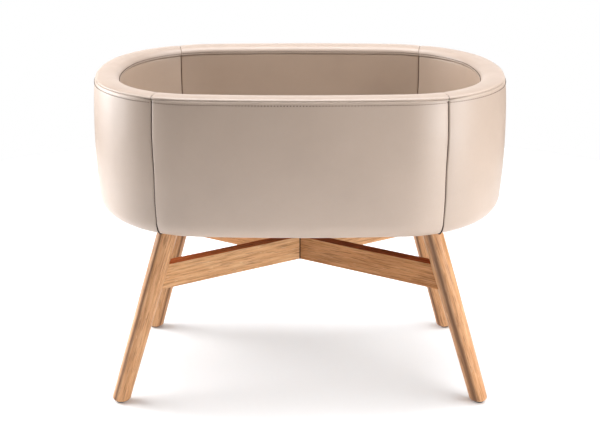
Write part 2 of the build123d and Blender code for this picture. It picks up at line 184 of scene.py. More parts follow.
def outer_section():
    """Outer wall from the rim seam to the underside."""
    belly_z = (shoulder_z + curve_z) / 2
    shoulder = (6 * mm, shoulder_z)
    foot = (foot_inset, curve_z)
    under = (curve_inset, tub_bottom_z)
    points = [outer_seam]
    points += arc_through(outer_seam, (6.6 * mm, (shoulder_z + outer_seam[1]) / 2), shoulder, 8)
    points += arc_through(shoulder, (0.0, belly_z), foot, 60)
    points += arc_through(foot, eighth(curve_inset, curve_z, foot_radius, 1, -1), under, 14)
    return points + [(outer_end_inset, tub_bottom_z)]


def rim_section():
    """Rim band from the outer seam, over the top, to the inner seam."""
    corner = 14 * mm
    centre = (wall_thickness - corner, rim_top_z - 1.5 * mm - corner)
    turn = (15 * mm, rim_top_z - 0.9 * mm)
    top = (centre[0], centre[1] + corner)
    inner = (wall_thickness, centre[1])
    points = [outer_seam]
    points += arc_through(outer_seam, (11.3 * mm, rim_top_z - 2.3 * mm), turn, 8)
    points += arc_through(turn, (28.3 * mm, rim_top_z), top, 12)
    points += arc_through(top, eighth(centre[0], centre[1], corner, -1, 1), inner, 12)
    return points + [(wall_thickness, shoulder_z)]


def lining_section():
    """Inner wall from the inner rim seam down to the floor board."""
    return [(wall_thickness, shoulder_z), (wall_thickness, board_top_z + 0.6 * mm)]


fine_steps = [f * mm for f in (0, 0.35, 0.9, 1.7, 2.8, 4, 5, 6.2, 7.8, 9, 10.2, 12.5)]


def graded(length, pitch):
    """Positions from 0 to length at about one pitch, with the fine steps at both ends."""
    start = fine_steps[-1]
    count = max(2, round((length - 2 * start) / pitch))
    middle = list(np.linspace(start, length - start, count + 1))
    return np.array(fine_steps[:-1] + middle + [length - f for f in reversed(fine_steps[:-1])])


def walked(points):
    """Distances along a line of points, from its start."""
    return np.concatenate([[0], np.cumsum(np.linalg.norm(np.diff(points, axis=0), axis=1))])


def read_off(points, at):
    """Coordinates of a line of points at distances from its start."""
    lengths = walked(points)
    return [np.interp(at, lengths, column) for column in np.transpose(points)]


def resample(points, pitch):
    """Section points at graded distances: insets, heights and the distances themselves."""
    at = graded(walked(points)[-1], pitch)
    return *read_off(points, at), at


def unit(vectors):
    return vectors / np.linalg.norm(vectors, axis=1)[:, None]


def section_normals(inset, height, facing):
    """Unit normals of a section as (outwards, upwards)."""
    along = unit(np.stack([np.gradient(-inset), np.gradient(height)], -1))
    return np.stack([-along[:, 1], along[:, 0]], -1) * facing


# ---- soft surfaces
def ripple(a, b, seed, terms=5):
    """Smooth repeatable noise over two coordinates, between about -1 and 1."""
    draw = np.random.default_rng(seed)
    total = 0.0
    for _ in range(terms):
        angle = draw.uniform(0, 2 * pi)
        rate = draw.uniform(0.6, 1.6)
        phase = draw.uniform(0, 2 * pi)
        total = total + np.sin(2 * pi * rate * (a * cos(angle) + b * sin(angle)) + phase)
    return total / terms


def puff(x, height, reach):
    """Rise of a stuffed surface away from a seam."""
    return height * (1 - np.exp(-x / reach))


def rolled(x, radius, depth):
    """Drop of a sewn edge that turns into its seam."""
    share = np.clip((radius - x) / radius, 0, 1)
    return depth * (1 - np.sqrt(1 - share ** 2))


# Relief of the leather: how far gathers and puckers reach from a seam, and the sizes they repeat at
gather_fade, gather_size = 16 * mm, (34 * mm, 60 * mm)
pucker_fade, pucker_size = 9 * mm, (26 * mm, 40 * mm)
wave_size = (240 * mm, 180 * mm)
top_reach = 10 * mm
seam_quiet = 2 * mm
stitch_pull, stitch_pull_width = 0.3 * mm, 1.5 * mm
# A pulled foot has next to no swell at its edge, and all of it above its hold
foot_hold_start, foot_hold_length, foot_hold_least = 30 * mm, 45 * mm, 0.06


def leather_lift(edge, start, finish, along, height, look, seed):
    """Height of the stuffed leather over its plain section."""
    swell = puff(edge, look["swell"], look["reach"]) - look["swell"]
    swell += puff(start, look["top"], top_reach) - look["top"]
    swell -= rolled(edge, look["roll"], look["drop"]) + rolled(start, look["roll"], look["drop"])
    if "tuck" in look:
        swell -= rolled(finish, look["roll"], look["drop"])
    if "pulled_foot" in look:
        swell *= np.clip((finish - foot_hold_start) / foot_hold_length, foot_hold_least, 1)
    gather = np.exp(-edge / gather_fade) * ripple(height / gather_size[0], edge / gather_size[1], seed)
    pucker = np.exp(-start / pucker_fade) * ripple(along / pucker_size[0], start / pucker_size[1], seed + 1)
    wave = ripple(along / wave_size[0], height / wave_size[1], seed + 2)
    quiet = np.clip(edge / seam_quiet, 0, 1) * np.clip(start / seam_quiet, 0, 1)
    for place, name in ((start, "stitch_top"), (finish, "stitch_foot")):
        if name in look:
            swell = swell - stitch_pull * np.exp(-((place - look[name]) / stitch_pull_width) ** 2)
    return swell + quiet * (look["gather"] * (gather + 0.6 * pucker) + look["wave"] * wave)


def panel_columns(side, inset, height, pitch):
    """Distances along the outline of one side's columns, row by row, and distances from the nearest seam."""
    first, last = panel_span(side, inset, height)
    width = (last - first)[:, None]
    columns = graded(float(np.mean(width)), pitch)
    share = columns / columns[-1]
    return first[:, None] + width * share, np.minimum(share, 1 - share) * width


def lifted(distance, edge, section, cover, depth, seed):
    """Points of the leather over section points, given as insets, heights, and distances from both ends."""
    inset, height, start, finish = (part[:, None] for part in section)
    look, facing = cover
    out, up = (part[:, None] for part in section_normals(inset[:, 0], height[:, 0], facing).T)
    lift = leather_lift(edge, start, finish, distance, height, look, seed) - depth
    return tub_points(distance, inset - out * lift, height + up * lift)


def wall_grid(side, section, pitch, look, facing, depth, seed):
    """Points of one stuffed side of the wall, as rows down the section and columns along the wall."""
    inset, height, at = resample(section, pitch)
    distance, edge = panel_columns(side, inset, height, pitch)
    return lifted(distance, edge, (inset, height, at, at[-1] - at), (look, facing), depth, seed)


def add_object(name, data):
    """A new object in the scene."""
    made = bpy.data.objects.new(name, data)
    scene.collection.objects.link(made)
    return made


def mesh_object(name, points, faces):
    """A mesh object with outward faces."""
    mesh = bpy.data.meshes.new(name)
    mesh.from_pydata([tuple(p) for p in points], [], faces)
    work = bmesh.new()
    work.from_mesh(mesh)
    bmesh.ops.recalc_face_normals(work, faces=work.faces)
    work.to_mesh(mesh)
    work.free()
    mesh.shade_smooth()
    return add_object(name, mesh)


def shell(name, front, back, loop=False):
    """A closed piece between two grids of points; a loop joins its last column to its first."""
    rows, columns = front.shape[:2]
    count = rows * columns
    faces = []
    for r in range(rows - 1):
        for c in range(columns if loop else columns - 1):
            a = r * columns + c
            b = r * columns + (c + 1) % columns
            quad = (a, b, b + columns, a + columns)
            faces += [quad, tuple(count + i for i in reversed(quad))]
    grid = np.arange(count).reshape(rows, columns)
    if loop:
        rims = [grid[0], grid[-1]]
    else:
        rims = [np.concatenate([grid[0], grid[1:-1, -1], grid[-1, ::-1], grid[-2:0:-1, 0]])]
    for rim in rims:
        for a, b in zip(rim.tolist(), np.roll(rim, -1).tolist()):
            faces.append((a, b, b + count, a + count))
    return mesh_object(name, np.concatenate([front.reshape(-1, 3), back.reshape(-1, 3)]), faces)


panel_look = {
    "swell": 4.0 * mm, "reach": 24 * mm, "top": 0.6 * mm, "roll": 3.6 * mm, "drop": 4.2 * mm,
    "gather": 0.28 * mm, "wave": 0.35 * mm, "stitch_top": 9 * mm, "pulled_foot": True,
}
rim_look = {
    "swell": 0.9 * mm, "reach": 12 * mm, "top": 0.0, "roll": 2.0 * mm, "drop": 2.0 * mm,
    "gather": 0.22 * mm, "wave": 0.2 * mm, "stitch_foot": 5 * mm, "tuck": True,
}
lining_look = {
    "swell": 3.2 * mm, "reach": 24 * mm, "top": 1.0 * mm, "roll": 3.6 * mm, "drop": 4.0 * mm,
    "gather": 0.3 * mm, "wave": 0.45 * mm,
}
# Section, look, the side of the section that faces out, and pitch of each kind of cover
wall_covers = {
    "outer_panel": (outer_section, panel_look, 1, 7 * mm),
    "rim_band": (rim_section, rim_look, -1, 5 * mm),
    "lining": (lining_section, lining_look, -1, 8 * mm),
}


def finish_piece(piece, slot, *replaced, body="crib"):
    """Ties a piece to its body and hides the CAD nodes that it stands for; the slot argument is not used."""
    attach(piece, body)
    if replaced:
        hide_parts(*replaced)
    return piece


# ---- leather covers and the foam under them
def cover_seed(kind, side):
    return 10 * list(wall_covers).index(kind) + 100 * side_names.index(side)


def cover_grid(kind, side, depth, pitch=None):
    """Points of one side's cover, sunk by a depth."""
    section, look, facing, own_pitch = wall_covers[kind]
    return wall_grid(side, section(), pitch or own_pitch, look, facing, depth, cover_seed(kind, side))


def build_cover(kind, side):
    """One sewn leather panel, as a shell of leather."""
    front, back = (cover_grid(kind, side, depth) for depth in (0.0, leather))
    piece = shell(f"{kind}_{side}_leather", front, back)
    slot = "lining_leather" if kind == "lining" else "leather"
    return finish_piece(piece, slot, f"{kind}_{side}")


foam_pitch = 14 * mm
foam_gap = 0.5 * mm
ply_centre = 49 * mm


def hoop_outer_point(inset, height):
    """Where the outer foam's back lies on the plywood, behind a point of the leather."""
    if height >= curve_z:
        return hoop_outer_inset - foam_gap / 2, min(height, shoulder_z)
    if inset >= ply_centre:
        return inset, board_bottom_z - foam_gap / 2
    angle = atan2(curve_z - height, max(curve_inset - inset, 0.0))
    reach = ply_centre - hoop_outer_inset + foam_gap / 2
    return ply_centre - reach * cos(angle), curve_z - reach * sin(angle)


def backing_grid(side, section, pitch, place):
    """Plain grid behind a wall grid, with each section point moved by place."""
    inset, height, _ = resample(section, pitch)
    moved = np.array([place(i, h) for i, h in zip(inset, height)])
    distance, _ = panel_columns(side, inset, height, pitch)
    return tub_points(distance, moved[:, :1] + 0 * distance, moved[:, 1:])


def build_wall_foam(name, side, section, kind, place):
    """A sheet of foam between a leather cover and the plywood hoop."""
    _, look, facing, _ = wall_covers[kind]
    front = wall_grid(side, section, foam_pitch, look, facing, leather + foam_gap, cover_seed(kind, side))
    piece = shell(f"{name}_{side}_sheet", front, backing_grid(side, section, foam_pitch, place))
    return finish_piece(piece, "foam", f"{name}_{side}")


def build_outer_foam(side):
    shoulder_row = 8
    end = (outer_end_inset - 4 * mm, tub_bottom_z)
    section = outer_section()[shoulder_row:-1] + [end]
    return build_wall_foam("outer_foam", side, section, "outer_panel", hoop_outer_point)


def build_inner_foam(side):
    section = [(wall_thickness, shoulder_z), (wall_thickness, batten_top_z + foam_gap)]
    hoop_side = hoop_inner_inset + foam_gap
    return build_wall_foam("inner_foam", side, section, "lining", lambda inset, height: (hoop_side, height))


def build_rim_foam():
    """Foam roll over the wall's top, all the way round, a little sunk below each cross seam."""
    look = dict(rim_look, swell=3.4 * mm, roll=0.1 * mm, drop=0.0, gather=0.0, wave=0.0)
    low = shoulder_z + foam_gap
    section = [(9.5 * mm, low)] + rim_section()[:-1] + [(wall_thickness, low)]

    def backing(inset, height):
        return min(max(inset, 14 * mm), wall_thickness - 5 * mm), low + 0.5 * mm

    fronts, backs = [], []
    for side in sides_in_turn:
        fronts.append(wall_grid(side, section, foam_pitch, look, -1, 2.6 * mm, 0)[:, :-1])
        backs.append(backing_grid(side, section, foam_pitch, backing)[:, :-1])
    piece = shell("rim_foam_roll", np.concatenate(fronts, 1), np.concatenate(backs, 1), loop=True)
    return finish_piece(piece, "foam", "rim_foam")


# ---- stitching
def tube_faces(base, rings, sides, loop=False):
    """Faces of a tube of rings of points, closed at both ends unless it is a loop."""
    faces = []
    for r in range(rings if loop else rings - 1):
        on = ((r + 1) % rings - r) * sides
        for k in range(sides):
            a = base + r * sides + k
            b = base + r * sides + (k + 1) % sides
            faces.append((a, b, b + on, a + on))
    if not loop:
        faces.append(tuple(base + k for k in reversed(range(sides))))
        faces.append(tuple(base + (rings - 1) * sides + k for k in range(sides)))
    return faces


def ring_round(middle, across, up, radius, sides):
    """A ring of points about a middle."""
    turns = [2 * pi * k / sides for k in range(sides)]
    return [middle + (across * cos(t) + up * sin(t)) * radius for t in turns]


def tube_mesh(paths, radius, sides=6):
    """Points and faces of thin tubes along lists of points; a path whose ends meet becomes a loop."""
    points, faces = [], []
    for path in paths:
        path = np.array(path)
        loop = np.linalg.norm(path[0] - path[-1]) < 1e-7
        if loop:
            path = path[:-1]
        before = np.roll(path, 1, axis=0)
        after = np.roll(path, -1, axis=0)
        if not loop:
            before[0] = path[0]
            after[-1] = path[-1]
        along = unit(after - before)
        level = np.abs(along[:, 2:]) < 0.7
        across = unit(np.cross(along, np.where(level, (0.0, 0.0, 1.0), (path[0][0], path[0][1], 0.0))))
        faces += tube_faces(len(points), len(path), sides, loop)
        for p, a, u in zip(path, across, np.cross(across, along)):
            points += ring_round(p, a, u, radius, sides)
    return points, faces


# Radius of a thread, and its height over the leather. The seam threads are made thick and dark: partly real
# thread, and partly painted shade in the seam grooves.
wall_thread_and_shade = (1.8 * mm, 1.4 * mm)
rim_thread_and_shade = (1.0 * mm, 0.4 * mm)
rim_thread_pitch = 8 * mm
rim_thread_steps = 120


def seam_threads_and_shade(kind):
    """The thread seen in the four upright seams of one kind of cover, made thick and dark so that it also
    paints the shade in each seam groove.
    """
    radius, lift = rim_thread_and_shade if kind == "rim_band" else wall_thread_and_shade
    paths = []
    for side in ("left", "right"):
        grid = cover_grid(kind, side, -lift)
        paths += [grid[:-1, 0], grid[:-1, -1]]
    return finish_piece(mesh_object(f"{kind}_seam_threads_and_shade", *tube_mesh(paths, radius)), "leather")


def rim_seam_threads_and_shade(name, rim_row, below):
    """The thread seen in the seam between the rim band and the cover below, all round the tub, made thick and
    darker than the leather so that it also paints the shade in the seam.
    """
    path = []
    share = np.linspace(0, 1, rim_thread_steps + 1)
    for side in sides_in_turn:
        rows = []
        for kind, row in (("rim_band", rim_row), (below, 0)):
            line = cover_grid(kind, side, -rim_thread_and_shade[1], rim_thread_pitch)[row]
            rows.append(np.stack(read_off(line, share * walked(line)[-1]), -1))
        path += list((rows[0] + rows[1])[:-1] / 2)
    path.append(path[0])
    return finish_piece(mesh_object(name, *tube_mesh([path], rim_thread_and_shade[0])), "leather")


stitch_pitch = 6.2 * mm
stitch_length = 2.5 * mm
stitch_radius = 1.2 * mm
stitch_sink = 0.1 * mm
stitch_rings = 5
stitch_sides = 6
stitch_end_gap = 2 * mm
stitch_slant = 0.1


def wall_line(side, kind, at, distances):
    """Points, normals and directions along one side's cover at a distance down its section."""
    section, look, facing, _ = wall_covers[kind]
    step = 0.3 * mm
    rows = np.array([at - step, at, at + step])
    inset, height = read_off(section(), rows)
    first, last = panel_span(side, inset, height)
    width = (last - first)[:, None]
    share = distances / width[1]
    grid = lifted(
        first[:, None] + width * share, np.minimum(share, 1 - share) * width,
        (inset, height, rows, walked(section())[-1] - rows), (look, facing), 0.0, cover_seed(kind, side),
    )
    along = unit(np.gradient(grid[1], axis=0))
    return grid[1], unit(np.cross(along, grid[2] - grid[0]) * facing), along


def stitch_row(name, kind, at):
    """A row of stitches round the tub, at a distance down one kind of cover, or up from its end."""
    points, faces = [], []
    at = at if at > 0 else walked(wall_covers[kind][0]())[-1] + at
    draw = np.random.default_rng(5)
    for side in side_names:
        first, last = panel_span(side, np.array([at]), np.array([shoulder_z]))
        length = float((last - first)[0]) - 2 * stitch_end_gap
        count = int(length / stitch_pitch)
        places = (np.arange(count) + 0.5) * length / count + stitch_end_gap
        for p, n, t in zip(*wall_line(side, kind, at, places)):
            slant = sin(stitch_slant) * draw.uniform(0.2, 1.6)
            t = t * cos(stitch_slant) + np.cross(n, t) * slant
            across = np.cross(n, t)
            faces += tube_faces(len(points), stitch_rings, stitch_sides)
            for r in range(stitch_rings):
                x = (r / (stitch_rings - 1) * 2 - 1) * 0.94
                radius = stitch_radius * sqrt(1 - x * x * 0.95)
                arch = stitch_radius * (0.9 - 1.5 * x * x) - stitch_sink
                middle = p + t * x * stitch_length / 2 + n * arch
                points += ring_round(middle, across, n, radius, stitch_sides)
    return finish_piece(mesh_object(name, points, faces), "leather")


# ---- mattress
mattress_inset = 62.5 * mm
mattress_low, mattress_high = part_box("mattress_cover")
piping_radius = 2.1 * mm


def oval_row(inset, height, count):
    """A closed row of points on the outline moved inwards."""
    return tub_points(np.arange(count) / count * perimeter, np.full(count, inset), height)


def oval_pad(name, inset, bottom, top, radius):
    """A closed oval pad with rounded edges, as rings of quads closed by faces."""
    count = 220
    steps = 5
    turns = [pi / 2 * i / steps for i in range(steps + 1)]
    profile = [(inset + radius * (1 - sin(t)), bottom + radius * (1 - cos(t))) for t in turns]
    profile += [(inset + radius * (1 - cos(t)), top - radius * (1 - sin(t))) for t in turns]
    points = np.concatenate([oval_row(i, h, count) for i, h in profile])
    return mesh_object(name, points, tube_faces(0, len(profile), count))


def apply_modifiers(piece):
    """Bakes a piece's modifiers into its mesh."""
    bpy.context.view_layer.update()
    evaluated = piece.evaluated_get(bpy.context.evaluated_depsgraph_get())
    mesh = bpy.data.meshes.new_from_object(evaluated)
    piece.modifiers.clear()
    piece.data = mesh
    mesh.shade_smooth()


def remesh(piece, voxel):
    """Rebuilds a piece's mesh from voxels."""
    change = piece.modifiers.new("remesh", "REMESH")
    change.mode = "VOXEL"
    change.voxel_size = voxel
    change.use_smooth_shade = True
    apply_modifiers(piece)


def vertex_places(piece):
    return np.array([v.co for v in piece.data.vertices])


cloth_settings = {
    "quality": 5, "mass": 0.3, "tension_stiffness": 15, "compression_stiffness": 15,
    "bending_stiffness": 0.6, "use_pressure": True, "uniform_pressure_force": 4.0,
}
swell_frames = 20
swell_cap = 9 * mm


def inflate(piece):
    """Points of a pad swollen as cloth, with each point's travel held to the cap."""
    before = vertex_places(piece)
    cloth = piece.modifiers.new("swell", "CLOTH")
    for name, value in cloth_settings.items():
        setattr(cloth.settings, name, value)
    cloth.settings.effector_weights.gravity = 0
    cloth.point_cache.frame_start = 1
    cloth.point_cache.frame_end = swell_frames
    for number in range(1, swell_frames + 1):
        scene.frame_set(number)
    apply_modifiers(piece)
    scene.frame_set(1)
    move = vertex_places(piece) - before
    travel = np.linalg.norm(move, axis=1)
    move *= np.minimum(1, swell_cap / np.maximum(travel, 1e-9))[:, None]
    return before + move


def build_mattress():
    """Mattress cover swollen as cloth, flat where it lies on the floor board."""
    shrink = 3 * mm
    bottom = mattress_low.z + 0.2 * mm
    top = mattress_high.z - 6 * mm
    piece = oval_pad("mattress_cover_sewn", mattress_inset + shrink, bottom, top, 11 * mm)
    remesh(piece, 6 * mm)
    points = inflate(piece)
    half = np.array([half_length - mattress_inset, half_width - mattress_inset])
    reach = np.linalg.norm(points[:, :2] / half, axis=1)
    crown = 2.5 * mm * np.clip(1 - reach ** 2, 0, 1)
    creases = ripple(points[:, 0] / (130 * mm), points[:, 1] / (90 * mm), 71, 7)
    upper = points[:, 2] > (bottom + top) / 2
    points[:, 2] += np.where(upper, crown + 0.5 * mm * creases, 0)
    points[:, 2] = np.clip(points[:, 2], mattress_low.z + 0.1 * mm, mattress_high.z + 4 * mm)
    for vertex, point in zip(piece.data.vertices, points):
        vertex.co = point
    piece.modifiers.new("smooth", "SUBSURF").levels = 1
    apply_modifiers(piece)
    return finish_piece(piece, "mattress_fabric", "mattress_cover", body="mattress")


def build_piping(name, mattress, height):
    """Piping sewn round the mattress, on its surface at one height."""
    count = 260
    outside = 12 * mm
    distance = np.arange(count) / count * perimeter
    start, out = outline(distance, np.full(count, mattress_inset - outside))
    points = []
    for (x, y), (ox, oy) in zip(start, out):
        hit, place, _, _ = mattress.ray_cast(Vector((x, y, height)), Vector((-ox, -oy, 0)))
        miss = (x - ox * (outside + 2 * mm), y - oy * (outside + 2 * mm), height)
        points.append(np.array(place if hit else miss))
    path = np.array(points) - np.concatenate([out, np.zeros((count, 1))], 1) * piping_radius * 0.4
    path = np.concatenate([path, path[:1]])
    piece = mesh_object(name, *tube_mesh([path], piping_radius, 8))
    return finish_piece(piece, "mattress_fabric", body="mattress")


def build_mattress_core():
    """Foam block inside the cover."""
    inset = mattress_inset + 14 * mm
    bottom, top = mattress_low.z + 4 * mm, mattress_high.z - 11 * mm
    piece = oval_pad("mattress_core_block", inset, bottom, top, 9 * mm)
    remesh(piece, 10 * mm)
    return finish_piece(piece, "foam", "mattress_core", body="mattress")


# ---- flat sheets under and inside the tub
def circle(x, y, radius, count=28):
    turns = [2 * pi * k / count for k in range(count)]
    return [(x + radius * cos(t), y + radius * sin(t)) for t in turns]


sheet_edge_points = 200
sheet_pitch = 11 * mm
sheet_margin = 8 * mm
hole_margin = 5 * mm


def flat_sheet(name, inset, z, holes, thickness, sag):
    """A thin oval sheet with round holes, waved by sag, as one closed piece."""
    edge = oval_row(inset, 0, sheet_edge_points)[:, :2]
    points, borders = [], []
    for loop in [[tuple(p) for p in edge]] + [circle(*hole) for hole in holes]:
        base = len(points)
        points += loop
        borders += [(base + i, base + (i + 1) % len(loop)) for i in range(len(loop))]
    long_reach = half_length - inset - sheet_margin
    wide_reach = half_width - inset - sheet_margin
    for x in np.arange(-half_length, half_length, sheet_pitch):
        for y in np.arange(-half_width, half_width, sheet_pitch):
            reach = (x / long_reach) ** 2 + (y / wide_reach) ** 2
            clear = all(hypot(x - hx, y - hy) > r + hole_margin for hx, hy, r in holes)
            if clear and reach < 1:
                points.append((float(x), float(y)))
    made = delaunay_2d_cdt([Vector(p) for p in points], borders, [], 0, 1e-6)
    plan = np.array([tuple(p) for p in made[0]])
    triangles = [tuple(f) for f in made[2] if inside_sheet(plan[list(f)].mean(0), inset, holes)]
    low = np.concatenate([plan, (z + sag(plan[:, 0], plan[:, 1]))[:, None]], 1)
    high = low + np.array((0, 0, thickness))
    count = len(plan)
    faces = triangles + [tuple(count + i for i in reversed(t)) for t in triangles]
    uses = Counter(tuple(sorted(edge)) for t in triangles for edge in zip(t, t[1:] + t[:1]))
    faces += [(a, b, b + count, a + count) for (a, b), n in uses.items() if n == 1]
    return mesh_object(name, np.concatenate([low, high]), faces)


def inside_sheet(point, inset, holes):
    """Whether a plan point lies in the oval and outside the holes."""
    if any(hypot(point[0] - x, point[1] - y) < r * 0.98 for x, y, r in holes):
        return False
    x, y = abs(point[0]), abs(point[1])
    for cx, cy, radius, start, sweep in arcs[:3]:
        angle = atan2(y - cy, x - cx)
        if start - 1e-6 <= angle <= start + sweep + 1e-6 and hypot(x - cx, y - cy) <= radius - inset:
            return True
    return hypot(x, y) < half_width - inset


def build_dust_cover():
    """Black cloth under the board, cut round the leg plates and slack between its staples."""
    inset = outer_end_inset + 0.6 * mm
    plate_radius = 35 * mm
    plate_z = 419.6 * mm
    holes = [(*leg_axis(sx, sy, plate_z), plate_radius) for sx, sy in leg_sides.values()]

    def sag(x, y):
        reach = np.clip(1 - (x / (half_length - inset)) ** 2 - (y / (half_width - inset)) ** 2, 0, 1)
        slack = 2.2 * mm * reach ** 0.5 * (0.7 + 0.3 * ripple(x / (160 * mm), y / (120 * mm), 31))
        return -slack - 0.5 * mm * reach * ripple(x / (45 * mm), y / (60 * mm), 32)

    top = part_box("dust_cover")[1].z
    piece = flat_sheet("dust_cover_cloth", inset, top - 0.9 * mm, holes, 0.7 * mm, sag)
    return finish_piece(piece, "dust_cloth", "dust_cover")


def build_floor_liner():
    """Leather sheet laid on the board inside the tub."""
    inset = wall_thickness + 0.6 * mm
    low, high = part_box("floor_liner")

    def wave(x, y):
        return 0.15 * mm * (1 + ripple(x / (110 * mm), y / (90 * mm), 41))

    piece = flat_sheet("floor_liner_sheet", inset, low.z, [], high.z - low.z - 0.4 * mm, wave)
    return finish_piece(piece, "lining_leather", "floor_liner")


# ---- stand
foot_x = {-1: 403 * mm, 1: 375 * mm}
foot_y = 191 * mm
leg_slope_x = {-1: 0.3014, 1: 0.2766}
leg_slope_y = 0.0467
leg_sides = {"front_left": (-1, -1), "front_right": (1, -1), "back_left": (-1, 1), "back_right": (1, 1)}
rail_middle_z = 297.5 * mm


def leg_axis(sx, sy, z):
    """Plan position of a leg's axis at a height."""
    return sx * (foot_x[sy] - leg_slope_x[sy] * z), sy * (foot_y - leg_slope_y * z)


# ---- materials
def shader(name):
    """A new material and its node tree."""
    material = bpy.data.materials.new(name)
    material.use_nodes = True
    return material, material.node_tree


def add(tree, kind, **values):
    """A node with its properties, or its input sockets by name, set."""
    node = tree.nodes.new(f"ShaderNode{kind}")
    for key, value in values.items():
        if hasattr(node, key) and key not in node.inputs:
            setattr(node, key, value)
        else:
            node.inputs[key.replace("_", " ")].default_value = value
    return node


def link(source, target):
    target.id_data.links.new(source, target)


def feed(value, socket):
    """Links a socket, or sets a number or colour, on another socket."""
    if isinstance(value, bpy.types.NodeSocket):
        link(value, socket)
    else:
        socket.default_value = (*value, 1) if isinstance(value, tuple) else value


def tree_of(*values):
    """The node tree of the first socket among some values."""
    return next(value.id_data for value in values if isinstance(value, bpy.types.NodeSocket))


def grey(value):
    return (value, value, value)


def ramp(source, stops):
    """A colour ramp of (position, colour) stops on a value; a colour may be a single grey."""
    node = add(source.id_data, "ValToRGB")
    elements = node.color_ramp.elements
    while len(elements) < len(stops):
        elements.new(0.5)
    for element, (position, colour) in zip(elements, stops):
        element.position = position
        element.color = (*(colour if isinstance(colour, tuple) else grey(colour)), 1)
    link(source, node.inputs["Fac"])
    return node.outputs["Color"]


def mapped(tree, scale=(1, 1, 1), rotation=(0, 0, 0), offset=(0, 0, 0)):
    """Object coordinates turned, moved and scaled."""
    turned = add(tree, "Mapping", Rotation=rotation, Location=offset)
    link(add(tree, "TexCoord").outputs["Object"], turned.inputs["Vector"])
    sized = add(tree, "Mapping", Scale=scale)
    link(turned.outputs["Vector"], sized.inputs["Vector"])
    return sized.outputs["Vector"]


def textured(kind, vector, output, **values):
    """One output of a texture node."""
    node = add(vector.id_data, f"Tex{kind}", **values)
    link(vector, node.inputs["Vector"])
    return node.outputs[output]


def noise(vector, scale, detail=4.0, rough=0.55, distortion=0.0):
    values = {"Scale": scale, "Detail": detail, "Roughness": rough, "Distortion": distortion}
    return textured("Noise", vector, "Fac", **values)


def waves(vector, direction, scale, distortion, **values):
    values |= {"wave_type": "BANDS", "bands_direction": direction, "Scale": scale, "Distortion": distortion}
    return textured("Wave", vector, "Fac", **values)


def cells(vector, scale):
    return textured("Voronoi", vector, "Distance", Scale=scale)


def mix(share, first, second, blend="MIX"):
    """Two colours mixed; each may be a socket or a colour."""
    node = add(tree_of(share, first, second), "Mix", data_type="RGBA", blend_type=blend)
    for number, value in ((0, share), (6, first), (7, second)):
        feed(value, node.inputs[number])
    return node.outputs[2]


def calculate(operation, *values):
    """The result of a sum; each value may be a socket or a number."""
    node = add(tree_of(*values), "Math", operation=operation)
    for socket, value in zip(node.inputs, values):
        feed(value, socket)
    return node.outputs[0]


def part_of(vector, axis):
    """One coordinate of a vector."""
    node = add(vector.id_data, "SeparateXYZ")
    link(vector, node.inputs[0])
    return node.outputs[axis]


def fade(value, near, far, strength):
    """A mask that falls from its strength at near to nothing at far."""
    node = add(value.id_data, "MapRange", From_Min=near, From_Max=far, To_Min=strength, To_Max=0.0)
    link(value, node.inputs["Value"])
    return node.outputs["Result"]


def bump(height, strength, distance, below=None):
    node = add(height.id_data, "Bump", Strength=strength, Distance=distance)
    link(height, node.inputs["Height"])
    if below:
        link(below, node.inputs["Normal"])
    return node.outputs["Normal"]


def finish_shader(material, colour, roughness, normal, **constants):
    """Wires the colour, roughness and normal of a material, and sets its constant sockets."""
    surface = material.node_tree.nodes["Principled BSDF"]
    for socket, source in (("Base Color", colour), ("Roughness", roughness), ("Normal", normal)):
        if source is not None:
            link(source, surface.inputs[socket])
    for name, value in constants.items():
        surface.inputs[name.replace("_", " ")].default_value = value
    return material


def leather_material(name, tone, seed):
    """Smooth dyed leather with a fine pebbled grain, soft mottling and slight burnish."""
    material, tree = shader(name)
    place = mapped(tree, offset=(seed, seed, 0))
    light = tuple(c * 1.045 for c in tone)
    dark = tuple(c * 0.945 for c in tone)
    warm = (tone[0] * 1.02, tone[1] * 0.965, tone[2] * 0.92)
    colour = ramp(noise(place, 9.0, 5.0, 0.6), [(0.3, dark), (0.52, tone), (0.75, light)])
    burnish = ramp(noise(place, 260.0, 3.0), [(0.35, 0.0), (0.75, 0.35)])
    shine = ramp(noise(place, 22.0, 4.0), [(0.3, 0.36), (0.7, 0.47)])
    creases = bump(noise(place, 60.0, 6.0, 0.6, 0.6), 0.12, 1.2 * mm)
    return finish_shader(
        material, mix(burnish, colour, warm), shine,
        bump(cells(place, 850.0), 0.16, 0.3 * mm, creases),
        Specular_IOR_Level=0.62, Coat_Weight=0.06, Coat_Roughness=0.35,
    )


def dark_shade_band(vector, along, centre, half):
    """Mask of a painted shade band: a slightly wavering dark streak along the grain, at a distance across it,
    that stands in for the core shadow on a rounded leg.
    """
    wavering = noise(along, 60.0, 6.0, 0.7)
    across = calculate("MULTIPLY_ADD", wavering, 1.6 * half, part_of(vector, "X"))
    apart = calculate("ABSOLUTE", calculate("SUBTRACT", across, centre + 0.8 * half))
    return fade(apart, 0.2 * half, 1.5 * half, 0.84)


def crossing_shade_line(facing_up):
    """Mask of the painted shade line: a dark contact shadow painted down the corners where the two rails
    cross, on upright faces.
    """
    coordinates = add(facing_up.id_data, "TexCoord")
    apart = calculate("ABSOLUTE", part_of(coordinates.outputs["Object"], "X"))
    upright = ramp(calculate("ABSOLUTE", facing_up), [(0.5, 1.0), (0.6, 0.0)])
    return mix(1.0, fade(apart, 0.9 * mm, 2.4 * mm, 0.9), upright, "MULTIPLY")


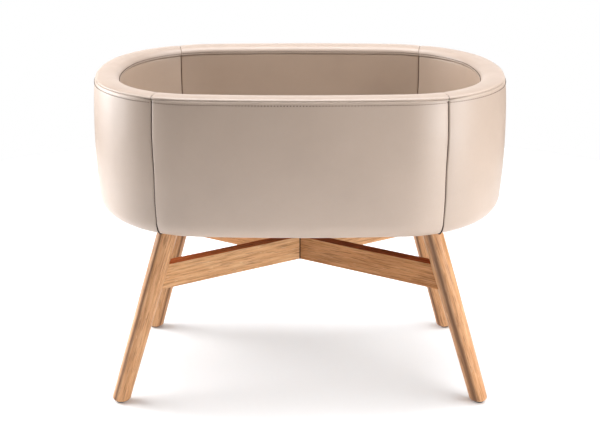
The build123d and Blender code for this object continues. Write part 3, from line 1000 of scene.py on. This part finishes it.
def oak_material(name, axis, seed, shade_band=None, tone=(1, 1, 1), crossing_shade=False):
    """Oiled oak with its grain along an axis: growth rings, streaks, pores and ray flecks. It also has
    painted shade: upward faces are darker and redder, there is an optional dark band along a leg, and an
    optional dark line where the rails cross. Its tone makes a lit copy and a shaded copy for the two rails.
    """
    material, tree = shader(name)
    turn = Vector(axis).normalized().rotation_difference(Vector((0, 0, 1))).to_euler()
    offset = (seed * 0.37, seed * 0.53, seed * 0.71)
    along = mapped(tree, (1, 1, 0.06), turn, offset)
    streaks = noise(along, 230.0, 8.0, 0.72)
    base = ramp(streaks, [
        (0.30, (0.42, 0.190, 0.070)), (0.48, (0.590, 0.305, 0.138)), (0.72, (0.71, 0.425, 0.232)),
    ])
    rings = waves(along, "DIAGONAL", 34.0, 7.0, Detail=4.0, Detail_Scale=1.6)
    ring_tone = ramp(rings, [(0.0, (0.72, 0.66, 0.60)), (0.55, 1.0), (1.0, 1.0)])
    base = mix(0.45, base, ring_tone, "MULTIPLY")
    pink = ramp(noise(along, 14.0, 3.0), [(0.35, (1.0, 0.93, 0.88)), (0.65, (1.0, 1.0, 0.97))])
    base = mix(0.8, base, pink, "MULTIPLY")
    pores = noise(mapped(tree, (1, 1, 0.045), turn, offset), 520.0, 2.0)
    pores = ramp(pores, [(0.55, 0.0), (0.63, 1.0)])
    base = mix(mix(1.0, pores, grey(0.62), "MULTIPLY"), base, (0.24, 0.105, 0.04))
    rays = noise(mapped(tree, (1, 0.35, 0.11), turn, offset), 420.0, 2.0)
    base = mix(ramp(rays, [(0.66, 0.0), (0.74, 0.5)]), base, (0.76, 0.53, 0.33))
    # Painted shade: an optional dark band along a leg stands in for the core shadow that the lamps leave on
    # the rounded leg.
    if shade_band:
        point, centre, half = shade_band
        spot = turn.to_matrix() @ Vector(point)
        local = mapped(tree, rotation=turn, offset=(-spot.x, -spot.y, 0))
        base = mix(dark_shade_band(local, along, centre, half), base, (0.115, 0.045, 0.018))
    # The tone multiplies the colour; on the two rails it paints light on one copy and shade on the other.
    base = mix(1.0, base, tone, "MULTIPLY")
    facing_up = part_of(add(tree, "NewGeometry").outputs["Normal"], "Z")
    # Painted shade: a dark contact shadow line down the corners where the two rails cross.
    if crossing_shade:
        base = mix(crossing_shade_line(facing_up), base, (0.075, 0.030, 0.015))
    # Painted shade: faces that look up, such as the rail tops, are made darker, redder and dull, for the
    # tub's shadow that falls on them.
    top = ramp(facing_up, [(0.90, 0.0), (0.98, 1.0)])
    base = mix(top, base, mix(1.0, base, (1.15, 0.52, 0.29), "MULTIPLY"))
    shine = ramp(streaks, [(0.3, 0.42), (0.7, 0.31)])
    return finish_shader(
        material, base, mix(top, shine, grey(0.95)),
        bump(pores, 0.25, -0.2 * mm, bump(streaks, 0.10, 0.6 * mm)),
        Specular_IOR_Level=0.12 if crossing_shade else 0.36,
    )


def plywood_material():
    """Birch plywood with stacked plies and a quiet face grain."""
    material, tree = shader("birch_plywood")
    plies = waves(mapped(tree), "Z", 105.0, 0.5)
    grain = noise(mapped(tree, (0.08, 1, 1)), 150.0, 6.0)
    base = ramp(grain, [(0.3, (0.62, 0.45, 0.27)), (0.7, (0.76, 0.60, 0.41))])
    layer = ramp(plies, [(0.35, (0.82, 0.76, 0.70)), (0.6, 1.0)])
    shine = ramp(grain, [(0.3, 0.74), (0.7, 0.62)])
    colour = mix(0.7, base, layer, "MULTIPLY")
    return finish_shader(material, colour, shine, bump(grain, 0.15, 0.5 * mm))


def foam_material():
    """Open-cell foam."""
    material, tree = shader("open_cell_foam")
    place = mapped(tree)
    pits = cells(place, 700.0)
    colour = ramp(noise(place, 12.0), [(0.3, (0.80, 0.74, 0.56)), (0.7, (0.90, 0.85, 0.70))])
    shine = ramp(pits, [(0.0, 1.0), (0.8, 0.85)])
    return finish_shader(material, colour, shine, bump(pits, 0.6, 0.8 * mm))


def woven_material(name, tone, thread, strength):
    """Woven cloth with crossing threads."""
    material, tree = shader(name)
    place = mapped(tree)
    weave = mix(0.5, *(waves(place, direction, thread, 0.6) for direction in ("X", "Y")))
    slub = noise(place, 45.0, 5.0)
    base = ramp(slub, [(0.3, tuple(c * 0.86 for c in tone)), (0.65, tone)])
    shade = ramp(weave, [(0.2, 0.84), (0.8, 1.0)])
    shine = ramp(slub, [(0.3, 0.95), (0.7, 0.82)])
    colour = mix(0.8, base, shade, "MULTIPLY")
    return finish_shader(material, colour, shine, bump(weave, strength, 0.4 * mm), Sheen_Weight=0.25)


def steel_material():
    """Zinc-plated steel with a faint spangle and fine brushing."""
    material, tree = shader("zinc_plated_steel")
    spangle = cells(mapped(tree), 260.0)
    brush = noise(mapped(tree, (1, 0.05, 1)), 900.0, 3.0)
    colour = ramp(spangle, [(0.0, (0.50, 0.50, 0.49)), (0.8, (0.66, 0.66, 0.63))])
    shine = ramp(brush, [(0.3, 0.30), (0.7, 0.44)])
    return finish_shader(material, colour, shine, bump(brush, 0.1, 0.1 * mm), Metallic=1.0)


def glide_material():
    """Dark moulded plastic, scuffed where it meets the floor."""
    material, tree = shader("dark_glide_plastic")
    scuff = noise(mapped(tree), 320.0, 5.0, 0.7)
    colour = ramp(scuff, [(0.4, (0.035, 0.030, 0.027)), (0.72, (0.085, 0.075, 0.068))])
    shine = ramp(scuff, [(0.3, 0.48), (0.7, 0.66)])
    return finish_shader(material, colour, shine, bump(scuff, 0.15, 0.2 * mm))


def thread_material(name, low, high):
    """Waxed sewing thread with a visible twist."""
    material, tree = shader(name)
    place = mapped(tree)
    twist = waves(place, "DIAGONAL", 900.0, 1.0)
    colour = ramp(twist, [(0.2, low), (0.8, high)])
    shine = ramp(noise(place, 200.0), [(0.3, 0.55), (0.7, 0.7)])
    return finish_shader(material, colour, shine, bump(twist, 0.4, 0.1 * mm), Specular_IOR_Level=0.15)


def paint(piece, material):
    """Gives every face of a piece one material."""
    piece.data.materials.clear()
    piece.data.materials.append(material)


def paint_node(name, material):
    """Gives a CAD node a material through its object's slots."""
    for slot in nodes[name].material_slots:
        slot.link = "OBJECT"
        slot.material = material


leather_tone = (0.466, 0.363, 0.292)
lining_tone = (0.476, 0.355, 0.269)
dust_tone = (0.030, 0.030, 0.032)
cotton_tone = (0.50, 0.468, 0.425)


def build_upholstery():
    """All leather panels, their foam and their stitching."""
    outer_leather = leather_material("dyed_leather", leather_tone, 0.0)
    inner_leather = leather_material("lining_leather", lining_tone, 3.0)
    foam = foam_material()
    thread = thread_material("brown_thread", (0.030, 0.017, 0.012), (0.062, 0.036, 0.025))
    pale_thread = thread_material("tan_thread", (0.16, 0.115, 0.090), (0.27, 0.20, 0.16))
    for side in side_names:
        for kind in wall_covers:
            paint(build_cover(kind, side), inner_leather if kind == "lining" else outer_leather)
        paint(build_outer_foam(side), foam)
        paint(build_inner_foam(side), foam)
    paint(build_rim_foam(), foam)
    paint(stitch_row("topstitch_outer", "outer_panel", panel_look["stitch_top"]), thread)
    paint(stitch_row("topstitch_inner", "rim_band", -rim_look["stitch_foot"]), thread)
    # The seam threads are real thread, made thick and dark so that they also paint the shade in the seams.
    for kind in ("outer_panel", "lining", "rim_band"):
        paint(seam_threads_and_shade(kind), thread)
    for edge, row, below in (("outer", 0, "outer_panel"), ("inner", -1, "lining")):
        paint(rim_seam_threads_and_shade(f"rim_{edge}_seam_thread_and_shade", row, below), pale_thread)
    paint(build_floor_liner(), inner_leather)
    paint(build_dust_cover(), woven_material("black_dust_cloth", dust_tone, 900.0, 0.5))
    return foam


def build_bedding(foam):
    """The mattress: cover, piping and core."""
    cotton = woven_material("mattress_cotton", cotton_tone, 620.0, 0.35)
    mattress = build_mattress()
    paint(mattress, cotton)
    top = mattress_high.z - 15 * mm
    bottom = mattress_low.z + 13 * mm
    for name, height in (("mattress_piping_top", top), ("mattress_piping_bottom", bottom)):
        paint(build_piping(name, mattress, height), cotton)
    paint(build_mattress_core(), foam)


# Painted shade bands on the legs: the place across each leg and the half width of the dark band that stands
# in for its core shadow.
leg_shade_bands = {
    "front_left": (-12 * mm, 3.4 * mm), "front_right": (-9 * mm, 6.0 * mm),
    "back_left": (12 * mm, 2.5 * mm), "back_right": (-14 * mm, 3.0 * mm),
}


def paint_structure():
    """Materials of the CAD nodes that show as they are."""
    for index, (name, (sx, sy)) in enumerate(leg_sides.items()):
        axis = (-sx * leg_slope_x[sy], -sy * leg_slope_y, 1)
        shade_band = ((*leg_axis(sx, sy, 0), 0), *leg_shade_bands[name])
        paint_node(f"leg_{name}", oak_material(f"oak_leg_{name}", axis, 1.0 + index, shade_band))
    front_x, front_y = leg_axis(1, -1, rail_middle_z)
    back_x, back_y = leg_axis(1, 1, rail_middle_z)
    # The tones are painted light and shade: the over rail gets a lighter, paler copy of the oak as painted
    # light, and the under rail a darker, redder copy as painted shade.
    for name, side, seed, tone in (
        ("cross_rail_over", 1, 6.0, (1.08, 1.15, 1.22)), ("cross_rail_under", -1, 8.0, (0.95, 0.86, 0.78)),
    ):
        axis = (front_x + back_x, side * (back_y - front_y), 0)
        paint_node(name, oak_material(f"oak_{name}", axis, seed, tone=tone, crossing_shade=True))
    for material, names in (
        (plywood_material(), "wall_hoop base_board base_batten"),
        (steel_material(), "leg_plates leg_plate_screws leg_bolts"
                           " batten_floor_screws batten_side_screws underside_staples"),
        (glide_material(), "foot_glides"),
    ):
        for name in names.split():
            paint_node(name, material)


# ---- floor, light and camera
def build_floor():
    """Plain pale floor."""
    bpy.ops.mesh.primitive_circle_add(vertices=96, radius=2.0, fill_type="NGON", location=(0, 0, -0.2 * mm))
    floor = bpy.context.object
    floor.name = "floor"
    material, tree = shader("pale_floor")
    tint = noise(mapped(tree), 1.5, 2.0)
    base = ramp(tint, [(0.3, (0.90, 0.895, 0.89)), (0.7, (0.92, 0.915, 0.91))])
    finish_shader(
        material, base, None, None,
        Roughness=0.75, Specular_IOR_Level=0.1, Emission_Color=(1, 0.98, 0.97, 1), Emission_Strength=0.07,
    )
    floor.data.materials.append(material)


def softbox(name, place, target, size, power, tone):
    """A rectangular area light aimed at a point."""
    data = bpy.data.lights.new(name, "AREA")
    data.shape = "RECTANGLE"
    data.size, data.size_y = size
    data.energy = power
    data.color = tone
    lamp = add_object(name, data)
    lamp.location = place
    lamp.rotation_euler = (Vector(target) - Vector(place)).to_track_quat("-Z", "Y").to_euler()


tub_middle = (0, 0, 0.5)
floor_middle = (0, 0, 0.3)
cool = (0.98, 1, 1.03)
# Name, place, target, size, power and colour of each box
softboxes = (
    ("left_box", (-2.2, 0.15, 0.9), tub_middle, (1.5, 1.5), 34, cool),
    ("left_rear_box", (-2.2, 0.8, 1.1), tub_middle, (1.2, 1.5), 30, cool),
    ("left_high_box", (-1.9, 0, 2.0), tub_middle, (1.5, 1.5), 19, (1, 1, 1)),
    ("right_box", (2.0, -1.2, 1.1), tub_middle, (1.2, 1.5), 24, cool),
    ("right_low_box", (1.8, -1.5, 0.45), floor_middle, (1.2, 0.8), 19, (1, 1, 1)),
    ("right_high_box", (1.9, 0, 2.0), tub_middle, (1.5, 1.5), 24, (1, 1, 1)),
    ("back_box", (0, 3.2, 1.0), floor_middle, (5.0, 1.2), 25, (1, 1, 1)),
    ("top_box", (0, 0.2, 2.8), tub_middle, (2.6, 1.8), 69, (0.97, 1, 1.06)),
)
room_seen = 1.0
room_light = 0.02


def build_light():
    """Soft studio light: boxes at both sides, behind and above, in a white room."""
    for row in softboxes:
        softbox(*row)
    sun = bpy.data.lights.new("overhead", "SUN")
    sun.energy = 0.82
    sun.angle = radians(75)
    add_object("overhead", sun)
    world = bpy.data.worlds.new("white_room")
    world.use_nodes = True
    tree = world.node_tree
    tree.nodes.clear()
    choose = add(tree, "MixShader")
    link(add(tree, "LightPath").outputs["Is Camera Ray"], choose.inputs[0])
    for number, strength in ((1, room_light), (2, room_seen)):
        link(add(tree, "Background", Color=(1, 1, 1, 1), Strength=strength).outputs[0], choose.inputs[number])
    link(choose.outputs[0], add(tree, "OutputWorld").inputs["Surface"])
    scene.world = world
    scene.view_settings.view_transform = "Standard"


camera_place = (0.0, -2.280, 1.205)
camera_pitch = radians(19.8)
camera_lens = 63.37


def build_camera():
    """Camera in front of the crib, looking a little down."""
    data = bpy.data.cameras.new("camera")
    data.sensor_width = 36
    data.lens = camera_lens
    camera = add_object("camera", data)
    camera.location = camera_place
    camera.rotation_euler = Euler((pi / 2 - camera_pitch, 0, 0))
    scene.camera = camera


foam = build_upholstery()
build_bedding(foam)
paint_structure()
build_floor()
build_light()
build_camera()
